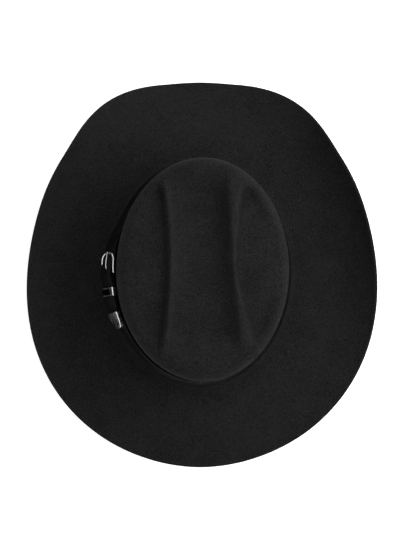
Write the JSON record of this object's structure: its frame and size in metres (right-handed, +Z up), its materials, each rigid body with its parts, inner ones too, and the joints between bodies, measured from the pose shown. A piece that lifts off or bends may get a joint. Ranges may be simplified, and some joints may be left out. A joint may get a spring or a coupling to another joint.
{
  "type": "cowboy hat",
  "caption": "Black felt cowboy hat with a cattleman crease, a brim rolled up at the sides, and a black leather hat band with a silver buckle, keeper and tip.",
  "frame": {"origin": "middle of the bounding box's bottom face, on the surface the hat rests on", "axes": "+Z up, the wearer faces -Y, the wearer's left (the buckle side) is +X"},
  "size_m": [0.3434, 0.3888, 0.1298],
  "materials": {
    "black_felt": "matte black fur felt with a fine short nap",
    "black_leather": "smooth black leather, low sheen, raw edges dyed black",
    "silver_plate": "polished silver-coloured plate with a faint warm tarnish",
    "brown_leather": "dark brown roan leather, semi-matte",
    "reed_plastic": "plain translucent-white extruded plastic",
    "black_ribbon": "black grosgrain ribbon",
    "black_satin": "black satin lining",
    "clear_vinyl": "clear glossy vinyl sheet",
    "black_thread": "black waxed thread"
  },
  "bodies": {
    "hat": {"felt_body": "black_felt", "hat_band": "black_leather", "band_tip": "silver_plate", "sweatband": "brown_leather", "sweatband_reed": "reed_plastic", "reed_tape": "black_ribbon", "bow_loops": "black_ribbon", "bow_knot": "black_ribbon", "lining_side": "black_satin", "lining_tip": "black_satin", "lining_shield": "clear_vinyl", "band_tack_rear": "black_thread", "band_tack_right": "black_thread", "band_tack_front": "black_thread"},
    "frame": {"buckle_frame": "silver_plate"},
    "prong": {"buckle_prong": "silver_plate"},
    "keeper": {"band_keeper": "silver_plate"}
  },
  "joints": [
    {"name": "buckle_swing", "type": "hinge", "parent": "hat", "child": "frame", "pos_m": [0.09279, -0.00009, 0.03613], "axis": [-0.6691, 0, 0.7431], "range_deg": [0, 6]},
    {"name": "prong_swing", "type": "hinge", "parent": "frame", "child": "prong", "pos_m": [0.09279, -0.00009, 0.03613], "axis": [-0.6691, 0, 0.7431], "range_deg": [0, 15]},
    {"name": "keeper_slide", "type": "hinge", "parent": "hat", "child": "keeper", "pos_m": [-0.04712, 0.0001, 0.03613], "axis": [0, 0, 1], "range_deg": [-1.5, 2]}
  ]
}
